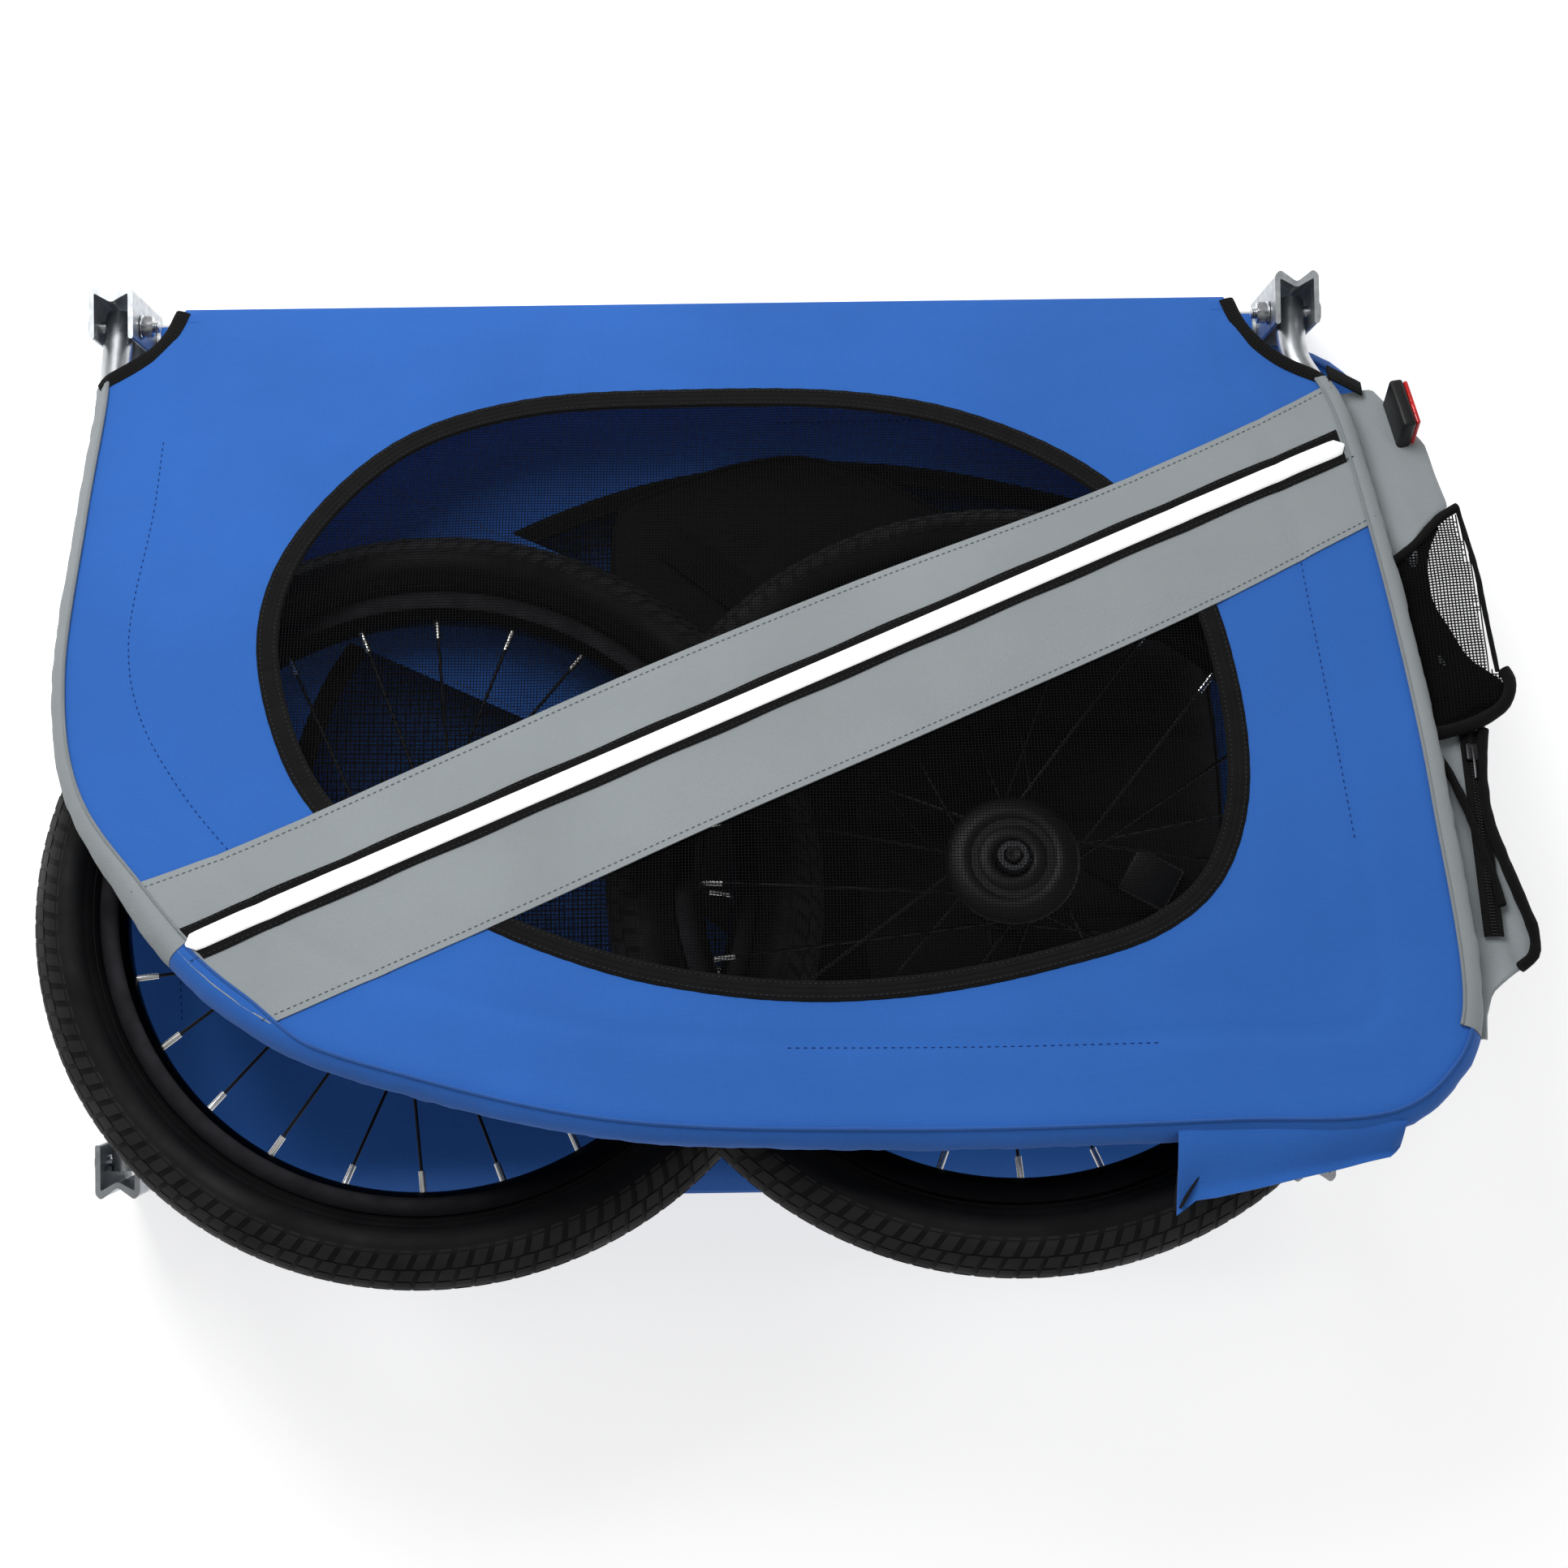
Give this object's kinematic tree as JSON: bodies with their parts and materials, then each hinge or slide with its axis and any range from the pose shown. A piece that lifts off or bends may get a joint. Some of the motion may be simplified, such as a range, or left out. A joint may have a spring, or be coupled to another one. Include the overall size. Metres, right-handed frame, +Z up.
{
  "type": "child bicycle trailer",
  "caption": "Folded two-wheel child bicycle trailer: blue side frames lie over the base with both spoked wheels taken off and stacked between them.",
  "frame": {"origin": "middle of the folded trailer's footprint, on the ground", "axes": "+X towards the rear, +Y towards the right side's fold axis, +Z up"},
  "size_m": [0.926, 0.642, 0.344],
  "materials": {
    "rail_steel": "zinc plated tube",
    "bracket_steel": "galvanised pressing",
    "bolt_zinc": "bright zinc",
    "hoop_steel": "silver powder coat",
    "blue_oxford": "coated weave",
    "grey_oxford": "coated weave",
    "black_oxford": "coated weave",
    "black_net": "open mesh",
    "black_webbing": "ribbed tape",
    "reflective_tape": "retroreflective",
    "seat_padding": "padded cloth",
    "tyre_rubber": "moulded",
    "butyl": "smooth",
    "rim_black": "black anodised",
    "spoke_black": "black spokes, bright nipples",
    "bearing_steel": "ground",
    "axle_steel": "ground",
    "cap_plastic": "moulded",
    "lens_red": "prismatic",
    "zip_metal": "dark plated"
  },
  "bodies": {
    "base": {"left_rail": "rail_steel", "left_axle_sleeve": "rail_steel", "left_front_bracket": "bracket_steel", "left_front_pivot_bolt": "bolt_zinc", "left_rear_bracket": "bracket_steel", "left_rear_pivot_bolt": "bolt_zinc", "left_hoop": "hoop_steel", "left_side_panel": "blue_oxford", "left_window_net": "black_net", "left_window_binding": "black_webbing", "left_grey_band": "grey_oxford", "right_rail": "rail_steel", "right_axle_sleeve": "rail_steel", "right_front_bracket": "bracket_steel", "right_front_pivot_bolt": "bolt_zinc", "right_rear_bracket": "bracket_steel", "right_rear_pivot_bolt": "bolt_zinc", "front_crossbar": "rail_steel", "rear_crossbar": "rail_steel", "axle_beam": "rail_steel", "floor_sheet": "black_oxford", "seat_sling": "black_oxford", "seat_pad": "seat_padding", "shoulder_strap": "black_webbing", "lap_strap": "black_webbing", "harness_buckle": "cap_plastic"},
    "right_side": {"right_hoop": "hoop_steel", "right_side_panel": "blue_oxford", "right_window_net": "black_net", "right_window_binding": "black_webbing", "right_grey_band": "grey_oxford", "right_black_tape": "black_webbing", "right_reflective_strip": "reflective_tape", "rear_panel": "grey_oxford", "rear_pocket": "black_net", "zipper_tape": "black_webbing", "reflector_housing": "cap_plastic", "reflector_lens": "lens_red", "roof_flap": "blue_oxford", "spreader_bar": "hoop_steel"},
    "zip_pull": {"zip_slider": "zip_metal"},
    "front_axle": {"front_wheel_axle": "axle_steel"},
    "front_wheel": {"front_wheel_tyre": "tyre_rubber", "front_wheel_inner_tube": "butyl", "front_wheel_rim": "rim_black", "front_wheel_spoked_hub": "spoke_black", "front_wheel_inner_bearing": "bearing_steel", "front_wheel_outer_bearing": "bearing_steel", "front_wheel_hub_cap": "cap_plastic"},
    "front_button": {"front_wheel_release_button": "cap_plastic"},
    "rear_axle": {"rear_wheel_axle": "axle_steel"},
    "rear_wheel": {"rear_wheel_tyre": "tyre_rubber", "rear_wheel_inner_tube": "butyl", "rear_wheel_rim": "rim_black", "rear_wheel_spoked_hub": "spoke_black", "rear_wheel_inner_bearing": "bearing_steel", "rear_wheel_outer_bearing": "bearing_steel", "rear_wheel_hub_cap": "cap_plastic"},
    "rear_button": {"rear_wheel_release_button": "cap_plastic"}
  },
  "joints": [
    {"name": "right_side_fold", "type": "hinge", "parent": "base", "child": "right_side", "pos_m": [-0.035, 0.29897, 0.078], "axis": [-1, 0, 0], "range_deg": [0, 64.71]},
    {"name": "zip_travel", "type": "slide", "parent": "right_side", "child": "zip_pull", "axis": [0, -0.9042, 0.4272], "range_m": [0, 0.11]},
    {"name": "front_wheel_lift_out", "type": "slide", "parent": "base", "child": "front_axle", "axis": [0, -0.9499, 0.3127], "range_m": [0, 0.7]},
    {"name": "front_wheel_spin", "type": "hinge", "parent": "front_axle", "child": "front_wheel", "pos_m": [-0.213, -0.08203, 0.15916], "axis": [0, 0.3127, 0.9499], "continuous": true},
    {"name": "front_button_press", "type": "slide", "parent": "front_axle", "child": "front_button", "axis": [0, -0.3127, -0.9499], "range_m": [0, 0.003], "stiffness_N_per_m": 400, "springref_m": -0.001},
    {"name": "rear_wheel_lift_out", "type": "slide", "parent": "base", "child": "rear_axle", "axis": [0, -0.9499, 0.3127], "range_m": [0, 0.7]},
    {"name": "rear_wheel_spin", "type": "hinge", "parent": "rear_axle", "child": "rear_wheel", "pos_m": [0.15, -0.07403, 0.20811], "axis": [0, 0.3127, 0.9499], "continuous": true},
    {"name": "rear_button_press", "type": "slide", "parent": "rear_axle", "child": "rear_button", "axis": [0, -0.3127, -0.9499], "range_m": [0, 0.003], "stiffness_N_per_m": 400, "springref_m": -0.001}
  ]
}
